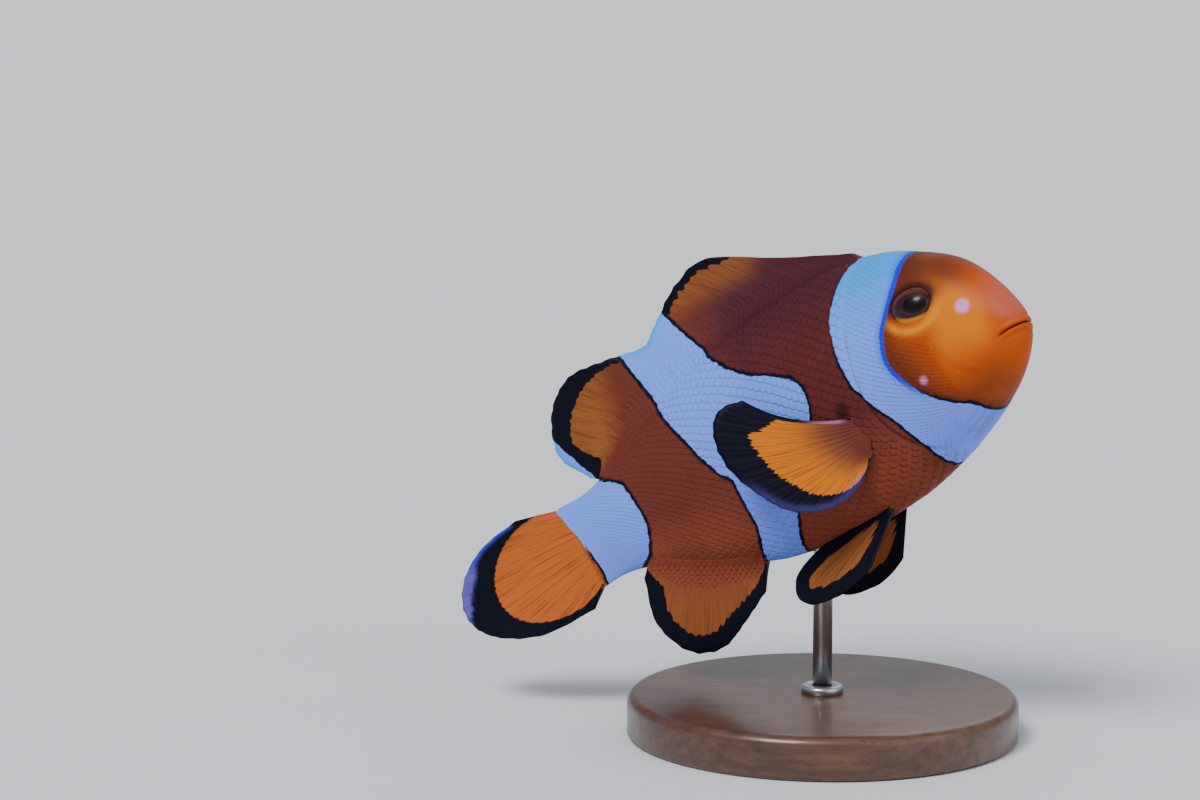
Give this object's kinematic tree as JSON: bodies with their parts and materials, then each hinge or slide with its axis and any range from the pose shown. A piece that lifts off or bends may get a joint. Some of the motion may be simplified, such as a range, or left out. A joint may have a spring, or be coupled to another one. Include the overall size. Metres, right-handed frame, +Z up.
{
  "type": "clownfish model",
  "caption": "Life-size clownfish in a turning swim, orange and brown with white bars and dark-edged fins, held over a round base by a short rod.",
  "frame": {"origin": "centre of the underside of the round stand base", "axes": "+Z up; +X the way the fish swims, its head towards +X; -Y is the side its right flank faces"},
  "size_m": [0.0735, 0.05, 0.0627],
  "materials": {
    "head_skin": "satin, finely scaled",
    "bar_skin": "satin, finely scaled",
    "body_skin": "satin, scaled",
    "fin_skin": "satin, rayed",
    "eye": "wet gloss",
    "base_wood": "oiled",
    "rod_metal": "brushed"
  },
  "bodies": {
    "root": {"head": "head_skin", "lower_jaw": "head_skin", "gill_cover_left": "bar_skin", "gill_cover_right": "bar_skin", "trunk": "body_skin", "tail_stalk": "body_skin", "fin_dorsal_spiny": "fin_skin", "fin_dorsal_soft": "fin_skin", "fin_anal": "fin_skin", "fin_caudal": "fin_skin", "fin_pectoral_left": "fin_skin", "fin_pectoral_right": "fin_skin", "fin_pelvic_left": "fin_skin", "fin_pelvic_right": "fin_skin", "eye_left": "eye", "eye_right": "eye", "stand_base": "base_wood", "stand_rod": "rod_metal"}
  },
  "joints": []
}
